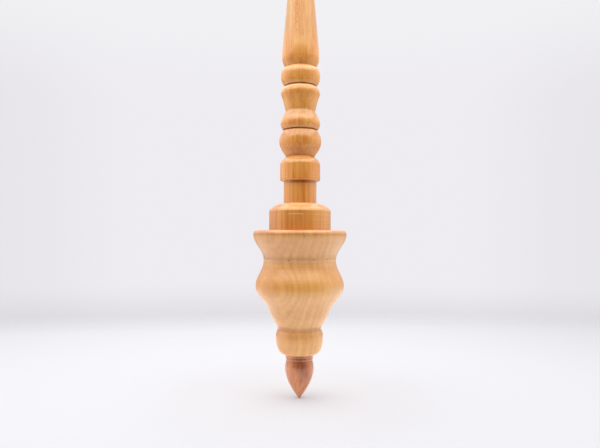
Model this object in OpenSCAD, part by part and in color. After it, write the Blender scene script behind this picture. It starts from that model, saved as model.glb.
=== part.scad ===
// Turned wooden hand spindle: a tapered shaft with beads pushes into a capped whorl,
// and a point of darker wood under the whorl stands in a support bowl.
// The origin is the tip of the point, and +Z runs up the shaft. Sizes are in millimetres.

/* [Point] */
// Length of the drop from the tip to its widest place
drop_l = 16.9; // [10:0.1:40]
// Greatest diameter of the drop
drop_d = 16.1; // [15:0.1:19]
// How full the drop is: 1 is a cone and 2 is a parabola
drop_fullness = 1.82; // [1.3:0.02:2.2]
// Diameter of the blunted tip
tip_d = 0.8; // [0.4:0.1:2]
// Height of the drop's rounded top, up to the lower scored line
drop_top_l = 4.3; // [2.5:0.1:8]
// Diameter in the lower scored line, over the drop
drop_top_d = 14.4; // [12:0.1:14.8]
// Height of the narrow land between the two scored lines
land_l = 1.6; // [1:0.1:5]
// Diameter in the upper scored line, over the land
land_d = 14.9; // [13:0.1:15.2]
// Height of the collar against the whorl
point_collar_l = 1.8; // [1.2:0.1:8]
// Diameter of the collar where it meets the whorl
point_collar_d = 16.5; // [15.5:0.1:18]
// Diameter of the point's tenon, which is glued into the whorl
point_tenon_d = 9.5; // [6:0.1:11]
// Length of the point's tenon
point_tenon_l = 15; // [8:0.5:22]

/* [Whorl] */
// Diameter of the whorl's flat underside
base_flat_d = 17; // [16.5:0.1:22]
// Greatest diameter of the bead at the whorl's base
base_bead_d = 26.5; // [25:0.1:32]
// Height of the base bead under its greatest diameter
base_bead_lower_l = 9.8; // [6:0.1:16]
// Height of the base bead over its greatest diameter
base_bead_upper_l = 4.2; // [3:0.1:8]
// Diameter of the crease over the base bead
crease_d = 24.2; // [22:0.1:24.8]
// Height of the steep foot of the cone over the crease
cone_foot_l = 2; // [1:0.1:4]
// Diameter at the top of that foot
cone_foot_d = 25.5; // [25:0.1:28]
// Height of the lower, hollow half of the cone over its foot
cone_lower_l = 8.4; // [6:0.1:18]
// Diameter halfway up the cone
cone_mid_d = 34.2; // [29:0.1:38]
// Height of the upper, swelling half of the cone
cone_upper_l = 13.5; // [10:0.1:24]
// Greatest diameter of the bulge
bulge_d = 49.2; // [44:0.1:58]
// Height from the bulge to the waist
bulge_upper_l = 14.3; // [11:0.1:24]
// Diameter of the waist
waist_d = 40.4; // [32:0.1:42]
// Height from the waist to the rim's lip
flare_l = 14.3; // [11:0.1:24]
// Diameter of the rim
rim_d = 52; // [46:0.1:64]
// Height of the rounded lip over the rim
lip_l = 2.2; // [1.2:0.1:5]
// Width of that lip, in from the rim to the flat top face
lip_w = 2; // [1:0.1:3]
// Depth of the line scored round the waist
waist_line_depth = 0.18; // [0.1:0.02:0.5]
// Width of the line scored round the waist
waist_line_w = 0.7; // [0.4:0.1:1.5]

/* [Cap] */
// Diameter of the cap
cap_d = 34.4; // [31:0.1:42]
// Height of the cap's straight side over the whorl
cap_side_l = 10.3; // [5:0.1:20]
// Height of the cap's rounded corner
cap_corner_l = 2.5; // [1:0.1:5]
// Diameter at the top of that corner
cap_corner_d = 30.4; // [26:0.1:31]
// Height of the sloping shoulder between the corner and the neck
cap_shoulder_l = 2.3; // [1:0.1:5]
// Depth that the cap is let into the whorl, where it is glued
cap_seat_l = 4; // [2:0.1:8]

/* [Shaft joint] */
// Diameter of the shaft's tenon, which is also its plain neck
tenon_d = 18.3; // [14:0.1:19.5]
// Length of the neck that stays clear of the cap
neck_l = 12.3; // [2:0.1:25]
// Depth of the socket below the whorl's top face
socket_l = 15; // [10:0.5:30]
// Clearance between the tenon and its socket, on the radius
tenon_fit = 0.06; // [0.03:0.01:0.1]
// Clearance round a glued piece, on the radius
glue_fit = 0.05; // [0.03:0.01:0.1]
// Depth left for glue under the end of a glued piece
glue_room = 0.3; // [0.2:0.1:1]
// Bevel on the end of each tenon
tenon_bevel = 0.6; // [0.3:0.1:1.5]

/* [Shaft] */
// Diameter of the collar over the neck
collar_d = 22.4; // [21:0.1:30]
// Radius of the collar's lower corner
collar_corner_r = 1.1; // [0.5:0.1:1.6]
// Height of the collar's side over that corner
collar_side_l = 7.8; // [4:0.1:18]
// Height of the collar's rounded shoulder
collar_shoulder_l = 4.7; // [3:0.1:9]
// Diameter of the crease between the collar and the ball
collar_crease_d = 15.7; // [14:0.1:18]
// Greatest diameter of the ball
ball_d = 23.5; // [21:0.1:28]
// Height of the ball under its greatest diameter
ball_lower_l = 8.5; // [6:0.1:14]
// Height of the ball over its greatest diameter
ball_upper_l = 5.8; // [4:0.1:10]
// Diameter at the edges of the burned line over the ball
ball_line_d = 19.5; // [17:0.1:20.5]
// Greatest diameter of the low bead
low_bead_d = 22; // [21:0.1:26]
// Height of the low bead under its greatest diameter
low_bead_lower_l = 3.3; // [2.5:0.1:7]
// Height of the low bead over its greatest diameter
low_bead_upper_l = 6.9; // [5:0.1:12]
// Diameter of the crease between the low bead and the vase
vase_crease_d = 16.7; // [15:0.1:18]
// Height of the vase's straight lower side
vase_side_l = 7; // [4:0.1:14]
// Diameter at the top of the vase's straight side
vase_side_d = 20.1; // [18.5:0.1:21]
// Height from the straight side to the vase's greatest diameter
vase_swell_l = 3; // [2:0.1:6]
// Greatest diameter of the vase
vase_d = 21.9; // [21.2:0.1:26]
// Height of the vase over its greatest diameter
vase_upper_l = 3.5; // [3:0.1:7]
// Diameter at the edges of the burned line over the vase
vase_line_d = 18.2; // [16.5:0.1:19.5]
// Greatest diameter of the high bead
high_bead_d = 22; // [21:0.1:26]
// Height of the high bead under its greatest diameter
high_bead_lower_l = 5.8; // [4:0.1:10]
// Height of the high bead over its greatest diameter
high_bead_upper_l = 4.3; // [3.5:0.1:8]
// Diameter of the crease over the high bead
high_crease_d = 17.3; // [16:0.1:19]
// Height from that crease to the swell that the taper starts from
swell_lower_l = 5.5; // [4:0.1:10]
// Greatest diameter of the swell
swell_d = 20.8; // [20:0.1:26]
// Height over which the swell turns into the taper
swell_upper_l = 9.4; // [6:0.1:20]
// Diameter where the taper starts
taper_d = 19.6; // [16:0.1:19.8]
// Length of the taper up to the rounded end
taper_l = 98.6; // [40:0.1:160]
// Diameter of the shaft at its rounded end
shaft_end_d = 5; // [3:0.1:9]
// Width of the burned lines
burn_w = 0.8; // [0.4:0.1:1.4]
// Depth of the burned lines
burn_depth = 0.7; // [0.3:0.1:1.2]

/* [Hidden] */

// Facets round the axis, and points along each curve of an outline.
$fn = 128;
curve_steps = 10;

// Shares of a burned line's width at which its floor starts and ends.
burn_floor = [0.3, 0.7];

// Wood colours.
pale_maple = [0.88, 0.68, 0.46];
honey_maple = [0.84, 0.58, 0.32];
red_wood = [0.70, 0.42, 0.30];

// Heights above the tip.
drop_top_z = drop_l + drop_top_l;
land_top_z = drop_top_z + land_l;
whorl_z = land_top_z + point_collar_l;
base_bead_z = whorl_z + base_bead_lower_l;
crease_z = base_bead_z + base_bead_upper_l;
cone_foot_z = crease_z + cone_foot_l;
cone_mid_z = cone_foot_z + cone_lower_l;
bulge_z = cone_mid_z + cone_upper_l;
waist_z = bulge_z + bulge_upper_l;
lip_z = waist_z + flare_l;
rim_top_z = lip_z + lip_l;
socket_z = rim_top_z - socket_l;
cap_seat_z = rim_top_z - cap_seat_l;
cap_side_z = rim_top_z + cap_side_l;
cap_corner_z = cap_side_z + cap_corner_l;
cap_top_z = cap_corner_z + cap_shoulder_l;
collar_z = cap_top_z + neck_l;
collar_side_z = collar_z + collar_corner_r;
collar_shoulder_z = collar_side_z + collar_side_l;
collar_crease_z = collar_shoulder_z + collar_shoulder_l;
ball_z = collar_crease_z + ball_lower_l;
ball_line_z = ball_z + ball_upper_l;
low_bead_z = ball_line_z + burn_w + low_bead_lower_l;
vase_crease_z = low_bead_z + low_bead_upper_l;
vase_side_z = vase_crease_z + vase_side_l;
vase_z = vase_side_z + vase_swell_l;
vase_line_z = vase_z + vase_upper_l;
high_bead_z = vase_line_z + burn_w + high_bead_lower_l;
high_crease_z = high_bead_z + high_bead_upper_l;
swell_z = high_crease_z + swell_lower_l;
taper_z = swell_z + swell_upper_l;
shaft_end_z = taper_z + taper_l;

// Unit vector at an angle from the axis: 0 points up, 90 straight out.
function aim(angle) = [sin(angle), cos(angle)];

// Cubic curve from p to q, without p itself, leaving at one angle and arriving at another.
function curve(p, leave, q, arrive, ease = 0.36) =
    let (reach = ease * norm(q - p))
    let (p1 = p + reach * aim(leave))
    let (q1 = q - reach * aim(arrive))
    [for (i = [1 : curve_steps])
        let (t = i / curve_steps, s = 1 - t)
        s * s * s * p + 3 * s * s * t * p1 + 3 * s * t * t * q1 + t * t * t * q];

// Outline through a list of stops, each [diameter, height, angle arriving, angle leaving].
function turned(stops) = [
    [stops[0][0] / 2, stops[0][1]],
    for (i = [1 : len(stops) - 1])
        let (a = stops[i - 1], b = stops[i])
        each curve([a[0] / 2, a[1]], a[3], [b[0] / 2, b[1]], b[2])
];

// Corners of a tenon's end, which stands upward or downward from the piece.
function tenon_end(d, z, up = true) =
    let (dir = up ? 1 : -1)
    [[d / 2, z - dir * tenon_bevel], [d / 2 - tenon_bevel, z]];

// Narrow tapering notch from its lower edge, at diameter d and height z, to its upper edge.
function burned_line(d, z) = [
    for (share = burn_floor) [d / 2 - burn_depth, z + burn_w * share],
    [d / 2, z + burn_w]
];

// Drop that closes from its widest place to the blunt tip.
function drop_outline() = [
    for (i = [0 : 2 * curve_steps])
        let (z = drop_l * i / (2 * curve_steps))
        let (share = 1 - pow(1 - z / drop_l, drop_fullness))
        [tip_d / 2 + (drop_d - tip_d) / 2 * share, z]
];

module point() {
    tenon_top_z = whorl_z + point_tenon_l;
    color(red_wood)
        rotate_extrude()
            polygon(concat(
                [[0, 0]],
                drop_outline(),
                turned([
                    [drop_d, drop_l, 0, 0],
                    [drop_top_d, drop_top_z, -17, 45],
                    [land_d, land_top_z, -25, 50],
                    [point_collar_d, whorl_z, 12, 0]
                ]),
                [[point_tenon_d / 2, whorl_z]],
                tenon_end(point_tenon_d, tenon_top_z),
                [[0, tenon_top_z]]
            ));
}

module whorl() {
    hole_r = point_tenon_d / 2 + glue_fit;
    hole_z = whorl_z + point_tenon_l + glue_room;
    socket_r = tenon_d / 2 + tenon_fit;
    recess_r = cap_d / 2 + glue_fit;
    recess_z = cap_seat_z - glue_room;
    color(pale_maple)
        rotate_extrude()
            polygon(concat(
                [[0, hole_z], [hole_r, hole_z], [hole_r, whorl_z]],
                turned([
                    [base_flat_d, whorl_z, 0, 90],
                    [base_bead_d, base_bead_z, 0, 0],
                    [crease_d, crease_z, -19, 8],
                    [cone_foot_d, cone_foot_z, 31, 31],
                    [cone_mid_d, cone_mid_z, 20, 20],
                    [bulge_d, bulge_z, 0, 0],
                    [waist_d, waist_z - waist_line_w / 2, 0, 0]
                ]),
                [[waist_d / 2 - waist_line_depth, waist_z]],
                turned([
                    [waist_d, waist_z + waist_line_w / 2, 0, 0],
                    [rim_d, lip_z, 0, 0],
                    [rim_d - 2 * lip_w, rim_top_z, -90, -90]
                ]),
                [[recess_r, rim_top_z], [recess_r, recess_z], [socket_r, recess_z]],
                [[socket_r, socket_z], [0, socket_z]]
            ));
}

module cap() {
    bore_r = tenon_d / 2 + tenon_fit;
    color(honey_maple)
        rotate_extrude()
            polygon(concat(
                [[bore_r, cap_seat_z], [cap_d / 2, cap_seat_z]],
                turned([
                    [cap_d, cap_side_z, 0, 0],
                    [cap_corner_d, cap_corner_z, -54, -50],
                    [2 * bore_r, cap_top_z, -88, 0]
                ])
            ));
}

module shaft() {
    corner_d = collar_d - 2 * collar_corner_r;
    color(honey_maple)
        rotate_extrude()
            polygon(concat(
                [[0, socket_z]],
                [for (i = [1, 0]) tenon_end(tenon_d, socket_z, false)[i]],
                [[tenon_d / 2, collar_z], [corner_d / 2, collar_z]],
                turned([
                    [corner_d, collar_z, 90, 90],
                    [collar_d, collar_side_z, 0, 0],
                    [collar_d, collar_shoulder_z, 0, 0],
                    [collar_crease_d, collar_crease_z, -49, 33],
                    [ball_d, ball_z, 0, 0],
                    [ball_line_d, ball_line_z, -33, 0]
                ]),
                burned_line(ball_line_d, ball_line_z),
                turned([
                    [ball_line_d, ball_line_z + burn_w, 0, 40],
                    [low_bead_d, low_bead_z, 0, 0],
                    [vase_crease_d, vase_crease_z, -19, 12],
                    [vase_side_d, vase_side_z, 18, 18],
                    [vase_d, vase_z, 0, 0],
                    [vase_line_d, vase_line_z, -50, 0]
                ]),
                burned_line(vase_line_d, vase_line_z),
                turned([
                    [vase_line_d, vase_line_z + burn_w, 0, 42],
                    [high_bead_d, high_bead_z, 0, 0],
                    [high_crease_d, high_crease_z, -60, 27],
                    [swell_d, swell_z, 0, 0],
                    [taper_d, taper_z, -5.5, -5.5],
                    [shaft_end_d, shaft_end_z, -3.5, 0],
                    [0, shaft_end_z + shaft_end_d / 2, -90, -90]
                ])
            ));
}

point();
whorl();
cap();
shaft();
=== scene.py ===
import math

import bpy
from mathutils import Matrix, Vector

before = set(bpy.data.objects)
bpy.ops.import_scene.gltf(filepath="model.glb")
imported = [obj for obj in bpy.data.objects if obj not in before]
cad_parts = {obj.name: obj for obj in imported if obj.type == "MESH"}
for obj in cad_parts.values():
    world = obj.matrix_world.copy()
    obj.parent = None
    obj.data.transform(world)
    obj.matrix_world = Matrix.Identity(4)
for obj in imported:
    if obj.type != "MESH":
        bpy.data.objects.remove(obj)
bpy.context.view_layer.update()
SCENE = bpy.context.scene

# Metres to millimetres: heights and radii in the woods are in mm, turns in degrees
# from the front, positive to the right.
MM = 1000.0


# ---------------------------------------------------------------- node helpers
class Graph:
    """Shorthand for building one node tree."""

    def __init__(self, tree):
        self.nodes = tree.nodes
        self.links = tree.links
        self.nodes.clear()

    def node(self, kind, inputs=None, **settings):
        made = self.nodes.new(kind)
        for key, value in settings.items():
            setattr(made, key, value)
        for key, value in (inputs or {}).items():
            self.feed(made.inputs[key], value)
        return made

    def feed(self, socket, value):
        if isinstance(value, bpy.types.NodeSocket):
            self.links.new(value, socket)
        elif isinstance(value, bpy.types.Node):
            self.links.new(value.outputs[0], socket)
        else:
            socket.default_value = value

    def math(self, operation, *values):
        made = self.node("ShaderNodeMath", operation=operation)
        for socket, value in zip(made.inputs, values):
            self.feed(socket, value)
        return made.outputs[0]

    def add(self, *values):
        total = values[0]
        for value in values[1:]:
            total = self.math("ADD", total, value)
        return total

    def mul(self, *values):
        total = values[0]
        for value in values[1:]:
            total = self.math("MULTIPLY", total, value)
        return total

    def sub(self, a, b):
        return self.math("SUBTRACT", a, b)

    def largest(self, *values):
        most = values[0]
        for value in values[1:]:
            most = self.math("MAXIMUM", most, value)
        return most

    def size(self, value):
        return self.math("ABSOLUTE", value)

    def hypot(self, a, b):
        return self.math("SQRT", self.add(self.mul(a, a), self.mul(b, b)))

    def turn(self, x, y):
        """Degrees round the axis from the front."""
        return self.math("DEGREES", self.math("ARCTAN2", x, self.mul(y, -1.0)))

    def ramp(self, value, low, high, start=0.0, end=1.0, smooth=True):
        """value from low to high becomes start to end, held beyond both."""
        made = self.node(
            "ShaderNodeMapRange",
            interpolation_type="SMOOTHSTEP" if smooth else "LINEAR",
            clamp=True,
        )
        for socket, one in zip(made.inputs, (value, low, high, start, end)):
            self.feed(socket, one)
        return made.outputs[0]

    def fall(self, value, low, high):
        """1 up to low, fading to 0 at high."""
        return self.ramp(value, low, high, 1.0, 0.0)

    def band(self, value, centre, half, soft):
        """1 within half of centre, fading to 0 over soft."""
        return self.fall(self.size(self.sub(value, centre)), half, half + soft)

    def between(self, share, a, b):
        """a where share is 0 and b where it is 1."""
        return self.ramp(share, 0.0, 1.0, a, b, smooth=False)

    def noise(self, vector, scale, detail=2.0, rough=0.5, stretch=None):
        """Noise from 0 to 1 round 0.5. stretch scales the three axes first."""
        if stretch is not None:
            vector = self.node(
                "ShaderNodeVectorMath", {0: vector, 1: stretch}, operation="MULTIPLY"
            ).outputs[0]
        made = self.node(
            "ShaderNodeTexNoise",
            {"Vector": vector, "Scale": scale, "Detail": detail, "Roughness": rough},
        )
        return made.outputs[0]

    def lines(self, value, scale, detail=2.0, rough=0.5):
        """Noise from 0 to 1 round 0.5 that changes with one value only."""
        made = self.node(
            "ShaderNodeTexNoise",
            {"W": value, "Scale": scale, "Detail": detail, "Roughness": rough},
            noise_dimensions="1D",
        )
        return made.outputs[0]

    def swing(self, value, amount):
        """value, which is round 0.5, as a change of up to amount either way."""
        return self.mul(self.sub(value, 0.5), 2.0 * amount)

    def mix(self, factor, a, b, blend="MIX"):
        made = self.node("ShaderNodeMix", data_type="RGBA", blend_type=blend, clamp_factor=True)
        self.feed(made.inputs[0], factor)
        self.feed(made.inputs[6], a)
        self.feed(made.inputs[7], b)
        return made.outputs[2]

    def grey(self, level, blue=None):
        """A colour of one level, its blue times that factor if one is given."""
        last = level if blue is None else self.mul(level, blue)
        return self.node("ShaderNodeCombineColor", {0: level, 1: level, 2: last})

    def xyz(self, vector):
        made = self.node("ShaderNodeSeparateXYZ", {0: vector})
        return made.outputs[0], made.outputs[1], made.outputs[2]


def srgb(r, g, b):
    """A colour read as 0 to 255, made linear."""
    def one(v):
        v /= 255.0
        return v / 12.92 if v <= 0.04045 else ((v + 0.055) / 1.055) ** 2.4
    return (one(r), one(g), one(b), 1.0)


# ---------------------------------------------------------------- camera
FOCAL_PX = 580.0
IMAGE_W = 600.0
SENSOR_W = 36.0
EYE_X = 0.00006
EYE_Z = 0.0902
EYE_BACK = 0.324
EYE_LOW_PX = 12.0
LEAN = math.radians(-0.24)


def make_camera():
    lens = bpy.data.cameras.new("camera")
    lens.sensor_width = SENSOR_W
    lens.lens = SENSOR_W * FOCAL_PX / IMAGE_W
    lens.shift_y = EYE_LOW_PX / IMAGE_W
    lens.clip_start = 0.01
    lens.clip_end = 50.0
    camera = bpy.data.objects.new("camera", lens)
    SCENE.collection.objects.link(camera)
    camera.rotation_mode = "XYZ"
    camera.location = (EYE_X, -EYE_BACK, EYE_Z)
    camera.rotation_euler = (math.radians(90.0), LEAN, 0.0)
    SCENE.camera = camera
    SCENE.view_settings.view_transform = "Standard"


# ---------------------------------------------------------------- world
# A light tent that is open in front. These are the levels of its light.
TENT_ROOF = 1.06
TENT_LEFT = 1.36
TENT_RIGHT = 1.20
TENT_BACK_LOW = 0.60
TENT_BACK_HIGH = 0.95
TENT_FRONT = 0.13
TENT_BLUE = 1.02
# Its walls brighten from the floor up, more on the left.
RISE_LOW = 0.82
RISE_LEFT = 1.34
RISE_RIGHT = 1.20
# The wall as the camera sees it: next to the floor, above it, and at the top.
WALL_FOOT = srgb(226, 224, 228)
WALL_MIDDLE = srgb(238, 236, 240)
WALL_TOP = srgb(241, 240, 243)
WALL_CORNER = 0.94


def make_world():
    world = bpy.data.worlds.new("tent")
    SCENE.world = world
    world.use_nodes = True
    g = Graph(world.node_tree)
    x, y, z = g.xyz(g.node("ShaderNodeTexCoord").outputs["Generated"])
    turn = g.turn(x, y)

    # The light: the walls, then the opening in front, then the roof over both.
    sides = g.ramp(turn, -60.0, 60.0, TENT_LEFT, TENT_RIGHT)
    back = g.ramp(z, 0.10, 0.32, TENT_BACK_LOW, TENT_BACK_HIGH)
    wall = g.between(g.ramp(g.size(turn), 98.0, 160.0), sides, back)
    rise = g.ramp(turn, -40.0, 60.0, RISE_LEFT, RISE_RIGHT)
    wall = g.mul(wall, g.ramp(z, 0.0, 0.42, RISE_LOW, rise, smooth=False))
    opening = g.mul(g.ramp(turn, -94.0, -44.0), g.fall(turn, 40.0, 88.0))
    level = g.between(opening, wall, TENT_FRONT)
    level = g.between(g.ramp(z, 0.46, 0.62), level, TENT_ROOF)

    # What the camera sees.
    seen = g.mix(g.ramp(z, -0.14, -0.075), WALL_FOOT, WALL_MIDDLE)
    corner = g.ramp(g.size(x), 0.26, 0.46, 1.0, WALL_CORNER)
    seen = g.mix(1.0, seen, g.grey(corner), "MULTIPLY")
    seen = g.mix(g.ramp(z, 0.20, 0.38), seen, WALL_TOP)

    path = g.node("ShaderNodeLightPath")
    around = g.node("ShaderNodeBackground", {"Color": g.grey(level, TENT_BLUE), "Strength": 1.0})
    behind = g.node("ShaderNodeBackground", {"Color": seen, "Strength": 1.0})
    both = g.node(
        "ShaderNodeMixShader", {0: path.outputs["Is Camera Ray"], 1: around, 2: behind}
    )
    g.node("ShaderNodeOutputWorld", {"Surface": both})


# The lit panel that lies on the tent's roof, sloping up from its front edge.
PANEL_W = 0.66
PANEL_L = 0.62
PANEL_FRONT = Vector((-0.03, -0.235, 0.312))
PANEL_TILT = math.radians(17.0)
PANEL_RADIANCE = 1.88


def make_panel():
    panel = bpy.data.lights.new("panel", "AREA")
    panel.shape = "RECTANGLE"
    panel.size = PANEL_W
    panel.size_y = PANEL_L
    panel.energy = PANEL_RADIANCE * math.pi * PANEL_W * PANEL_L
    slope = Vector((0.0, math.cos(PANEL_TILT), math.sin(PANEL_TILT)))
    lamp = bpy.data.objects.new("panel", panel)
    lamp.location = PANEL_FRONT + 0.5 * PANEL_L * slope
    lamp.rotation_euler = (PANEL_TILT, 0.0, 0.0)
    lamp.visible_camera = False
    SCENE.collection.objects.link(lamp)


# ---------------------------------------------------------------- floor
# The cloth's edges, in metres from the axis. It fades out before them.
FLOOR_SIDE = 0.45
FLOOR_NEAR = -0.45
FLOOR_BACK = 0.40
FLOOR_FADE_LEFT = 0.340
FLOOR_FADE_RIGHT = 0.385
# The cloth's colour to the camera, next to the point where it is painted brighter, and to the
# light it throws back.
FLOOR_SEEN = 0.530
FLOOR_PAINTED_LIGHT_AT_POINT = 0.583
FLOOR_SEEN_BLUE = 1.03
FLOOR_BOUNCE = 0.87
FLOOR_BOUNCE_FRONT = 0.1914


def make_floor():
    mesh = bpy.data.meshes.new("floor")
    corners = [
        (-FLOOR_SIDE, FLOOR_NEAR, 0),
        (FLOOR_SIDE, FLOOR_NEAR, 0),
        (FLOOR_SIDE, FLOOR_BACK, 0),
        (-FLOOR_SIDE, FLOOR_BACK, 0),
    ]
    mesh.from_pydata(corners, [], [(0, 1, 2, 3)])
    floor = bpy.data.objects.new("floor", mesh)
    SCENE.collection.objects.link(floor)
    material = bpy.data.materials.new("floor")
    material.use_nodes = True
    g = Graph(material.node_tree)
    x, y, _ = g.xyz(g.node("ShaderNodeTexCoord").outputs["Object"])

    back = g.sub(g.ramp(x, -0.30, 0.10, FLOOR_FADE_LEFT, FLOOR_FADE_RIGHT), y)
    side = g.sub(0.42, g.size(x))
    shown = g.mul(g.ramp(back, 0.0, 0.16), g.ramp(side, 0.0, 0.11), g.ramp(y, -0.44, -0.34))
    # The cloth is painted brighter round the point: painted light that thins the point's shadow
    # there.
    level = g.ramp(g.hypot(x, y), 0.01, 0.075, FLOOR_PAINTED_LIGHT_AT_POINT, FLOOR_SEEN)
    seen = g.node("ShaderNodeBsdfDiffuse", {"Color": g.grey(level, FLOOR_SEEN_BLUE)})
    # The light that the cloth throws back ends where the tent ends, in front.
    thrown = g.ramp(y, -0.26, -0.06, FLOOR_BOUNCE_FRONT, FLOOR_BOUNCE)
    bounce = g.node("ShaderNodeBsdfDiffuse", {"Color": g.grey(thrown)})

    path = g.node("ShaderNodeLightPath")
    cloth = g.node(
        "ShaderNodeMixShader", {0: path.outputs["Is Camera Ray"], 1: bounce, 2: seen}
    )
    clear = g.node("ShaderNodeBsdfTransparent")
    surface = g.node("ShaderNodeMixShader", {0: shown, 1: clear, 2: cloth})
    g.node("ShaderNodeOutputMaterial", {"Surface": surface})
    mesh.materials.append(material)


# ---------------------------------------------------------------- woods
# Noise runs along the grain: how often it changes to a metre, across and along.
FIBRE = (1500.0, 1500.0, 50.0)
BROAD = (190.0, 190.0, 6.0)
STREAKS = (620.0, 620.0, 14.0)
WHORL_STREAKS = (500.0, 500.0, 14.0)
SPECKS = (1100.0, 1100.0, 400.0)
FLECK_BREAKS = (420.0, 420.0, 260.0)
# Rings left by turning: how often they change to a mm.
TURNED_SCALE = 1.3
FIBRE_BUMP = 0.08
FIBRE_DEPTH = 0.0001
WAX_SPECULAR = 0.9


def wood(name, paints, gloss, build):
    """A waxed wood whose tone, 0 pale to 1 dark, marks and roughness come from build."""
    material = bpy.data.materials.new(name)
    material.use_nodes = True
    g = Graph(material.node_tree)
    p = g.node("ShaderNodeTexCoord").outputs["Object"]
    x, y, z = g.xyz(p)
    radius = g.mul(g.hypot(x, y), MM)
    fibre = g.noise(p, 1.0, 2.0, 0.6, FIBRE)
    height = g.mul(z, MM)
    place = {
        "p": p,
        "x": x,
        "y": y,
        "z": height,
        "r": radius,
        "turn": g.turn(x, y),
        # As turn in front, and folded back behind, so it has no seam there.
        "side": g.math("DEGREES", g.math("ARCSINE", g.math("DIVIDE", g.mul(x, MM), radius))),
        "turned": g.lines(g.add(height, g.mul(fibre, 0.15)), TURNED_SCALE, 2.0, 0.65),
        "fibre": fibre,
    }
    tone, marks, rough = build(g, place)
    pale, mid, dark = (srgb(*paint) for paint in paints)
    colour = g.mix(g.ramp(tone, 0.0, 0.5, smooth=False), pale, mid)
    colour = g.mix(g.ramp(tone, 0.5, 1.0, smooth=False), colour, dark)
    for share, paint, *blend in marks:
        colour = g.mix(share, colour, paint, *blend)
    bump = g.node(
        "ShaderNodeBump", {"Strength": FIBRE_BUMP, "Distance": FIBRE_DEPTH, "Height": fibre}
    )
    shader = g.node(
        "ShaderNodeBsdfPrincipled",
        {
            "Base Color": colour,
            "Roughness": rough,
            "Normal": bump,
            "Specular IOR Level": WAX_SPECULAR,
            "Specular Tint": gloss,
        },
    )
    g.node("ShaderNodeOutputMaterial", {"Surface": shader})
    return material


def tint(share, r, g, b):
    """A mark that darkens what lies under it by these factors."""
    return share, (r, g, b, 1.0), "MULTIPLY"


def bands(g, value, rows):
    """Tone changes: place, half width, fade and amount of each row."""
    return [g.mul(g.band(value, at, half, soft), amount) for at, half, soft, amount in rows]


def patch(g, place, turn, turn_half, turn_soft, height, half, soft, amount):
    """A tone change round one turn and height."""
    round_it = g.band(place["turn"], turn, turn_half, turn_soft)
    return g.mul(round_it, g.band(place["z"], height, half, soft), amount)


def streak(g, place, turn, half, soft, low, high, amount):
    """A tone change at one turn, between two heights: mostly a streak along the grain, in some
    rows painted shade and highlight.
    """
    ease = 3.0
    round_it = g.band(place["turn"], turn, half, soft)
    rise = g.ramp(place["z"], low - ease, low + ease)
    fall = g.fall(place["z"], high - ease, high + ease)
    return g.mul(round_it, g.mul(rise, fall), amount)


def pit(g, place, turn, height, radius):
    """A small round mark at one turn and height."""
    across = g.mul(g.sub(place["turn"], turn), place["r"], math.pi / 180.0)
    away = g.hypot(across, g.sub(place["z"], height))
    return g.fall(away, radius * 0.5, radius * 1.2)


# ---------------------------------------------------------------- the whorl's wood
# Growth rings: circles round a pith outside the blank, to the front and left.
PITH_X = -0.0535
PITH_Y = -0.0595
PITH_LEAN = 0.047

# Pale ridges of the growth rings: place across the rings, half width and strength.
WHORL_RIDGES = [
    (57.9, 0.25, 0.16),
    (60.7, 0.45, 0.34),
    (62.6, 0.25, 0.14),
    (65.0, 0.45, 0.30),
    (68.1, 0.55, 0.26),
    (69.9, 0.25, 0.12),
    (72.6, 0.35, 0.20),
    (76.9, 0.50, 0.34),
    (80.2, 0.35, 0.18),
    (84.5, 0.40, 0.20),
]
RIDGE_FADE = 0.75
RIDGE_GAIN = -1.15
RIDGE_LIMIT = 0.01

# Tone changes round the whorl: height, half width, fade and amount.
WHORL_BANDS = [
    # The next row paints the foot of the cone paler, a painted reflection.
    (43.0, 1.2, 2.0, -0.08),  # the foot of the cone
    (75.0, 0.6, 1.2, -0.14),  # under the waist
    # The next row paints the whorl paler under the rim, painted light against the rim's shade.
    (89.0, 0.8, 1.2, -0.12),  # under the rim
    (91.4, 0.2, 1.3, 0.24),  # a line round the rim
]

# Tone changes in one place: turn, half, fade, height, half, fade and amount.
WHORL_PATCHES = [
    (-28.0, 8.0, 20.0, 68.0, 2.0, 8.0, 0.12),
    (27.0, 6.0, 12.0, 63.0, 6.0, 6.0, -0.14),
]

# Pits: turn, height and radius.
WHORL_PITS = [
    (-57.0, 78.3, 0.45),
    (-17.0, 77.3, 0.48),
    (22.0, 77.6, 0.36),
    (45.0, 77.8, 0.40),
    (54.0, 78.1, 0.30),
    (5.0, 90.0, 0.42),
]

CREASE_Z = 39.3
WAIST_Z = 76.8
SCORED_Z = 77.6
LOOPS_TURN = 31.0


def whorl_figure(g, place):
    """Tone of the growth rings, and how far they wander."""
    p = place["p"]
    away = g.mul(g.hypot(g.sub(place["x"], PITH_X), g.sub(place["y"], PITH_Y)), MM)
    wander = g.swing(g.noise(p, 45.0, 3.0, 0.55, (1.0, 1.0, 0.45)), 1.5)
    rings = g.add(away, g.mul(place["z"], PITH_LEAN), wander)
    broad = g.lines(rings, 0.20, 2.0, 0.55)
    fine = g.lines(g.add(rings, wander), 1.05, 2.0, 0.6)
    # The figure is faint where the rings lie flat, on the left.
    clear = g.ramp(place["side"], -48.0, -20.0, 0.25, 1.0)
    depth = g.ramp(g.noise(p, 75.0, 2.0, 0.5, (1.0, 1.0, 0.35)), 0.3, 0.65, 0.40, 1.0)
    rows = [(at, half, RIDGE_FADE, amount) for at, half, amount in WHORL_RIDGES]
    ridges = g.mul(g.add(*bands(g, rings, rows)), depth, RIDGE_GAIN)
    figure = g.mul(g.add(ridges, g.swing(broad, 0.16), g.swing(fine, 0.12)), clear)
    return g.math("MINIMUM", figure, RIDGE_LIMIT), wander


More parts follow.
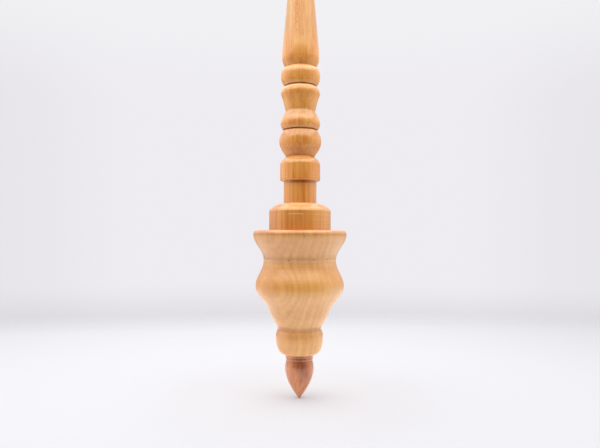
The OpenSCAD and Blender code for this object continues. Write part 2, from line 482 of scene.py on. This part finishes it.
def whorl_loops(g, place):
    """Fine loops where the growth rings lie flat in the surface, low on the right."""
    turn, z = place["turn"], place["z"]
    flat = g.mul(g.band(turn, LOOPS_TURN, 8.0, 8.0), g.fall(z, 50.0, 60.0))
    knots = g.swing(g.noise(place["p"], 240.0, 1.0, 0.5, (1.0, 1.0, 0.8)), 1.0)
    off = g.math("DIVIDE", g.sub(turn, LOOPS_TURN), 12.0)
    count = g.add(g.mul(off, off, 2.0), g.mul(knots, 2.4), g.mul(z, 0.20), 10.0)
    return g.mul(g.band(g.math("FRACT", count), 0.5, 0.03, 0.16), flat, 0.18)


def whorl_flecks(g, place, wander):
    """Short pale flecks of the rays, leaning, on the right of the flare."""
    turn, z = place["turn"], place["z"]
    where = g.mul(g.band(turn, 19.0, 8.0, 8.0), g.band(z, 83.5, 4.0, 4.0))
    lean = g.add(g.mul(turn, 0.42), g.mul(z, -0.33))
    count = g.mul(g.add(lean, g.mul(wander, 0.5), 100.0), 0.62)
    broken = g.ramp(g.noise(place["p"], 1.0, 1.0, 0.5, FLECK_BREAKS), 0.42, 0.62)
    flecks = g.mul(g.band(g.math("FRACT", count), 0.5, 0.04, 0.22), broken, where)
    return g.add(g.mul(flecks, -0.36), g.mul(where, 0.05))


def whorl_wood(g, place):
    p, z, turn, side = place["p"], place["z"], place["turn"], place["side"]
    aside = g.size(turn)
    cloud = g.noise(p, 45.0, 2.0, 0.5)
    figure, wander = whorl_figure(g, place)
    # The front of the flare is ruddier, and lighter right of its middle.
    flare = g.mul(g.band(turn, -2.0, 32.0, 14.0), g.ramp(z, 64.0, 80.0), g.fall(z, 90.0, 91.5))
    # The underside of the bulge is painted paler at its sides, a painted reflection, and the
    # rest of it golden.
    bulge_side_sheen = g.mul(
        g.ramp(g.size(g.add(turn, 12.0)), 28.0, 60.0),
        g.mul(g.ramp(z, 55.0, 58.0), g.fall(z, 61.0, 66.0)),
    )
    golden = g.mul(g.ramp(z, 56.5, 61.0), g.fall(z, 72.0, 77.0))
    golden = g.mul(golden, g.sub(1.0, g.mul(bulge_side_sheen, 0.7)))
    tone = g.add(
        0.49,
        figure,
        g.ramp(side, -60.0, 25.0, 0.12, -0.06),
        g.swing(g.noise(p, 1.0, 2.0, 0.5, WHORL_STREAKS), 0.16),
        g.swing(place["turned"], 0.12),
        g.swing(place["fibre"], 0.34),
        g.swing(cloud, 0.18),
        *bands(g, z, WHORL_BANDS),
        # Painted shade darkens the crease over the base bead, more at its sides.
        g.mul(g.band(z, CREASE_Z, 0.7, 0.9), g.ramp(aside, 20.0, 60.0, 0.40, 0.58)),
        # The rim's top edge is painted darker, painted shade that dims its highlight.
        g.ramp(z, 92.2, 92.8, 0.0, 0.20),
        g.mul(g.band(turn, 10.0, 14.0, 18.0), flare, -0.16),
        *[patch(g, place, *row) for row in WHORL_PATCHES],
        whorl_loops(g, place),
        whorl_flecks(g, place, wander),
        g.mul(bulge_side_sheen, -0.22),
        g.mul(golden, g.band(turn, 0.0, 22.0, 20.0), -0.07),
    )
    # The base bead is golden too. The waist is greyer along its scored line, partly the line's
    # own colour and partly painted shade of the hollow waist, and painted paler in that line
    # itself, painted light that takes back the groove's shade.
    golden = g.largest(golden, g.ramp(z, 38.0, 41.0, 0.45, 0.0))
    uneven = g.ramp(g.noise(p, 110.0, 1.0, 0.5), 0.3, 0.7, 0.35, 1.0)
    scored_line_and_shade = g.mul(g.band(z, SCORED_Z, 0.8, 1.4), uneven, g.ramp(side, 0.0, 35.0, 0.30, 0.06))
    line = g.mul(g.band(z, WAIST_Z, 0.45, 0.3), g.ramp(aside, 20.0, 65.0, 0.20, 0.36))
    marks = [
        tint(golden, 1.0, 0.89, 0.555),
        tint(g.ramp(z, 89.5, 91.5), 0.97, 0.89, 0.68),
        (scored_line_and_shade, srgb(150, 118, 92)),
        (line, srgb(238, 202, 162)),
        tint(flare, 1.0, 0.93, 0.90),
    ]
    for row in WHORL_PITS:
        marks.append((g.mul(pit(g, place, *row), 0.75), srgb(92, 58, 44)))
    rough = g.add(g.ramp(cloud, 0.3, 0.7, 0.28, 0.35), g.mul(g.band(z, WAIST_Z, 0.5, 0.3), 0.40))
    return tone, marks, rough


# ---------------------------------------------------------------- straight-grained woods
def straight_grain(g, place, base, rows=(), fine=0.58):
    """Tone and roughness of a piece whose grain runs along the axis."""
    p = place["p"]
    cloud = g.noise(p, 70.0, 2.0, 0.5, (1.0, 1.0, 0.6))
    tone = g.add(
        base,
        g.swing(g.noise(p, 1.0, 2.0, 0.5, BROAD), 0.20),
        g.swing(g.noise(p, 1.0, 2.0, 0.5, STREAKS), 0.48),
        g.swing(place["turned"], 0.12),
        g.swing(place["fibre"], fine),
        g.swing(cloud, 0.16),
        *[streak(g, place, *row) for row in rows],
    )
    return tone, g.ramp(cloud, 0.3, 0.7, 0.19, 0.25)


# Tone changes round the cap's side: turn, half width, fade and amount.
CAP_WALL_BANDS = [
    (-28.0, 6.0, 10.0, 0.12),
    (28.0, 5.0, 8.0, -0.14),
]


def cap_wood(g, place):
    turn, z, turned = place["turn"], place["z"], place["turned"]
    aside = g.size(turn)
    wall = g.fall(z, 103.0, 105.5)
    tone, rough = straight_grain(g, place, 0.38)
    tone = g.add(
        tone,
        # A darker strip of the side, which ends sharply on the right.
        g.mul(g.mul(g.ramp(turn, -40.0, -14.0), g.fall(turn, 18.5, 22.0)), wall, 0.16),
        # Level rings of turning show right of the strip.
        g.mul(g.swing(turned, 0.30), g.ramp(place["side"], 16.0, 24.0), wall),
        g.mul(g.add(*bands(g, turn, CAP_WALL_BANDS)), wall),
        # Painted shade darkens the cap round its left side.
        g.mul(g.band(turn, -62.0, 14.0, 12.0), 0.34),
        # The top is darker under its pale rings.
        g.ramp(z, 105.6, 106.6, 0.0, 0.18),
    )
    # The shoulder is painted browner at its sides, a painted shade, and paler in front in fine
    # rings, a painted highlight.
    shoulder_side_shade = g.mul(g.band(z, 105.7, 0.8, 0.5), g.ramp(aside, 8.0, 24.0))
    front_highlight = g.largest(
        g.mul(g.ramp(z, 106.0, 107.0), g.fall(aside, 16.0, 44.0)),
        g.mul(g.ramp(z, 104.9, 105.7), g.fall(aside, 6.0, 26.0)),
    )
    front_highlight = g.mul(front_highlight, g.ramp(turned, 0.30, 0.70, 0.14, 0.30))
    # A painted highlight in fine rings lies on the arris next to the neck, fading at the sides.
    arris_highlight = g.mul(g.ramp(z, 107.0, 107.7), g.ramp(turned, 0.35, 0.65, 0.5, 1.0))
    arris_highlight = g.mul(arris_highlight, g.ramp(aside, 30.0, 60.0, 1.0, 0.15))
    # A pale mark near the top of the side.
    pale_side_mark = g.mul(g.band(z, 102.0, 0.10, 0.16), g.band(turn, -8.0, 11.0, 4.0))
    marks = [
        tint(shoulder_side_shade, 0.86, 0.77, 0.63),
        (g.mul(pale_side_mark, 0.65), srgb(246, 206, 154)),
        (g.mul(arris_highlight, 0.42), srgb(226, 188, 144)),
        (front_highlight, srgb(248, 214, 172)),
    ]
    return tone, marks, rough


# Tone changes along the shaft, mostly streaks of its grain and in some rows painted shade and
# highlight, as marked: turn, half, fade, from and to height, and amount.
SHAFT_STREAKS = [
    # The neck and the collar.
    (9.5, 1.5, 5.0, 112.0, 130.0, 0.19),
    (-4.5, 2.0, 5.0, 108.0, 121.0, 0.16),
    (20.0, 1.5, 4.0, 108.0, 121.0, -0.18),
    # Painted shade in the next row darkens the front round the collar's lower edge.
    (2.0, 14.0, 22.0, 119.6, 124.5, 0.20),
    # The ball.
    (-3.0, 3.0, 8.0, 134.0, 145.0, 0.14),
    # Painted shade under the ball, in the next two rows.
    (-8.0, 12.0, 18.0, 134.0, 139.0, 0.30),
    (0.0, 30.0, 40.0, 133.5, 139.0, 0.12),
    (10.0, 1.5, 6.0, 139.0, 147.0, 0.14),
    (13.0, 2.0, 12.0, 141.0, 146.0, 0.12),
    # The low bead.
    (2.0, 3.0, 6.0, 149.0, 157.0, 0.16),
    (-10.0, 1.5, 4.0, 149.0, 158.0, -0.20),
    (17.0, 1.5, 4.0, 149.0, 158.0, -0.18),
    (24.0, 8.0, 12.0, 149.5, 154.0, -0.22),
    # The vase and the high bead.
    (3.0, 3.0, 8.0, 160.0, 188.0, 0.16),
    (12.0, 50.0, 40.0, 160.5, 167.5, -0.14),
    # The next row is a painted highlight just above the high burned line.
    (0.0, 90.0, 40.0, 175.0, 178.5, -0.14),
    # The swell.
    (0.0, 12.0, 26.0, 193.0, 199.0, -0.26),
]
BURNED_LOW_Z = 149.05
BURNED_HIGH_Z = 173.55
OVAL_TURN = -12.0
OVAL_HALF = 11.0
OVAL_STEP = 4.6


def shaft_ovals(g, place):
    """A chain of small ovals up the front of the taper: its halo, outline and filling."""
    p, z = place["p"], place["z"]
    waver = g.swing(g.noise(p, 70.0, 1.0, 0.5), 5.0)
    across = g.math("DIVIDE", g.add(place["turn"], -OVAL_TURN, waver), OVAL_HALF)
    uneven = g.swing(g.noise(p, 90.0, 1.0, 0.5), 0.25)
    count = g.math("FRACT", g.add(g.mul(z, 1.0 / OVAL_STEP), uneven))
    along = g.mul(g.sub(count, 0.5), 1.9)
    away = g.hypot(across, along)
    near = g.mul(g.ramp(z, 192.0, 206.0), g.fall(z, 238.0, 252.0))
    halo = g.mul(g.band(away, 1.16, 0.05, 0.16), near)
    outline = g.mul(g.band(away, 0.86, 0.05, 0.16), near)
    filled = g.mul(g.fall(away, 0.20, 0.62), near, g.ramp(z, 202.0, 212.0, 0.1, 0.7))
    return halo, outline, filled


def shaft_wood(g, place):
    turn, z = place["turn"], place["z"]
    aside = g.size(turn)
    tone, rough = straight_grain(g, place, 0.42, SHAFT_STREAKS)
    halo, outline, filled = shaft_ovals(g, place)
    tone = g.add(tone, g.mul(halo, -0.14))
    burned = g.largest(
        g.band(z, BURNED_LOW_Z, 0.16, 0.20),
        g.band(z, BURNED_HIGH_Z, 0.16, 0.20),
    )
    # The sides of the taper are painted darker and duller than its front, a painted shade.
    taper_side_shade = g.mul(
        g.mul(g.ramp(aside, 15.0, 60.0, 0.25, 1.0), g.ramp(place["side"], 10.0, 50.0, 1.0, 0.7)),
        g.ramp(z, 190.0, 208.0),
    )
    # The ball's underside is painted browner, a painted shade, and is less glossy.
    ball_underside = g.band(z, 136.0, 2.4, 1.2)
    # The upper sides of the ball and of the low bead, and the collar's shoulder at
    # its sides, are painted browner too, a painted shade.
    upper_side_shade = g.largest(g.band(z, 157.8, 1.2, 1.2), g.band(z, 146.8, 1.0, 2.5))
    collar_side_shade = g.mul(g.band(z, 133.0, 1.5, 0.7), g.ramp(g.size(g.add(turn, 8.0)), 45.0, 66.0))
    # The vase's upper edge and the low bead's shoulder are painted paler: painted highlights.
    vase_edge_highlight = g.mul(g.band(z, 172.6, 0.5, 0.4), g.ramp(turn, 40.0, 60.0, 0.50, 0.0))
    bead_shoulder_highlight = g.mul(
        g.band(z, 155.7, 0.7, 0.6),
        g.mul(g.ramp(turn, -48.0, -28.0), g.ramp(turn, -10.0, 25.0, 0.17, 0.04)),
    )
    # The edges next to the lines and the crease are painted paler: painted highlights.
    line_edge_highlight = g.largest(
        g.mul(g.band(z, 172.7, 0.5, 0.5), 1.6),
        g.mul(g.band(z, 133.4, 0.5, 0.8), 0.8),
        g.mul(g.band(z, 182.6, 0.9, 0.8), 0.7),
    )
    line_edge_highlight = g.mul(line_edge_highlight, g.fall(aside, 30.0, 50.0))
    # A painted shadow darkens the neck right under the collar.
    neck_shadow = g.mul(g.band(z, 120.0, 0.3, 0.8), g.band(turn, 8.0, 26.0, 70.0))
    marks = [
        tint(taper_side_shade, 0.70, 0.76, 0.68),
        tint(filled, 0.92, 0.68, 0.22),
        tint(outline, 0.90, 0.70, 0.34),
        tint(g.mul(ball_underside, g.ramp(turn, -65.0, -35.0, 0.45, 1.0)), 0.93, 0.90, 0.58),
        tint(g.band(z, 175.8, 1.4, 1.0), 1.0, 0.98, 0.84),
        tint(g.mul(upper_side_shade, g.ramp(aside, 20.0, 60.0, 0.72, 1.0)), 0.78, 0.76, 0.62),
        tint(collar_side_shade, 0.80, 0.71, 0.52),
        (vase_edge_highlight, srgb(255, 224, 172)),
        (bead_shoulder_highlight, srgb(240, 208, 172)),
        (g.mul(line_edge_highlight, 0.40), srgb(240, 204, 152)),
        (g.mul(neck_shadow, 0.50), srgb(128, 70, 40)),
        (burned, srgb(178, 98, 44)),
    ]
    rough = g.add(rough, g.mul(burned, 0.5), g.mul(ball_underside, 0.20))
    return tone, marks, rough


# Paler places of the point: turn, half, fade, height, half, fade and amount.
POINT_PATCHES = [
    (0.0, 12.0, 14.0, 7.0, 1.5, 2.0, -0.15),
    (-28.0, 8.0, 10.0, 23.2, 0.8, 0.6, -0.15),
]


def point_wood(g, place):
    p, z = place["p"], place["z"]
    tone, rough = straight_grain(g, place, 0.44, fine=0.24)
    lean = g.add(place["side"], g.mul(z, -3.2))
    figure = g.lines(g.add(lean, g.swing(g.noise(p, 90.0, 2.0, 0.5), 16.0)), 0.07, 2.0, 0.55)
    specks = g.ramp(g.noise(p, 1.0, 1.0, 0.5, SPECKS), 0.62, 0.78)
    # The front is darker towards the top, in a patch that leans to the right lower down.
    across = g.add(place["turn"], g.mul(g.sub(z, 20.0), 2.4))
    dark = g.mul(g.band(across, 4.0, 8.0, 34.0), g.ramp(z, 5.0, 21.0))
    tone = g.add(
        tone,
        g.mul(dark, 0.52),
        *[patch(g, place, *row) for row in POINT_PATCHES],
        g.swing(figure, 0.30),
        g.mul(specks, 0.14),
        g.ramp(z, 2.0, 9.0, -0.16, 0.0),
    )
    return tone, [], g.add(rough, 0.10)


# ---------------------------------------------------------------- the scene
# Each piece's paints, pale, middle and dark, the tint of its gloss, and its figure.
FINISHES = {
    "whorl": (
        [(226, 173, 111), (211, 151, 90), (188, 120, 62)],
        (1.0, 0.98, 0.90, 1.0),
        whorl_wood,
    ),
    "cap": (
        [(229, 166, 90), (215, 146, 70), (195, 114, 50)],
        (1.0, 0.96, 0.80, 1.0),
        cap_wood,
    ),
    "shaft": (
        [(232, 169, 90), (220, 143, 64), (202, 109, 43)],
        (1.0, 0.96, 0.82, 1.0),
        shaft_wood,
    ),
    "point": (
        [(208, 135, 84), (184, 108, 64), (132, 66, 34)],
        (1.0, 0.97, 0.88, 1.0),
        point_wood,
    ),
}

make_camera()
make_world()
make_panel()
make_floor()
for node, (paints, gloss, build) in FINISHES.items():
    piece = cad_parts[node]
    piece.data.materials.clear()
    piece.data.materials.append(wood(node + "_wood", paints, gloss, build))
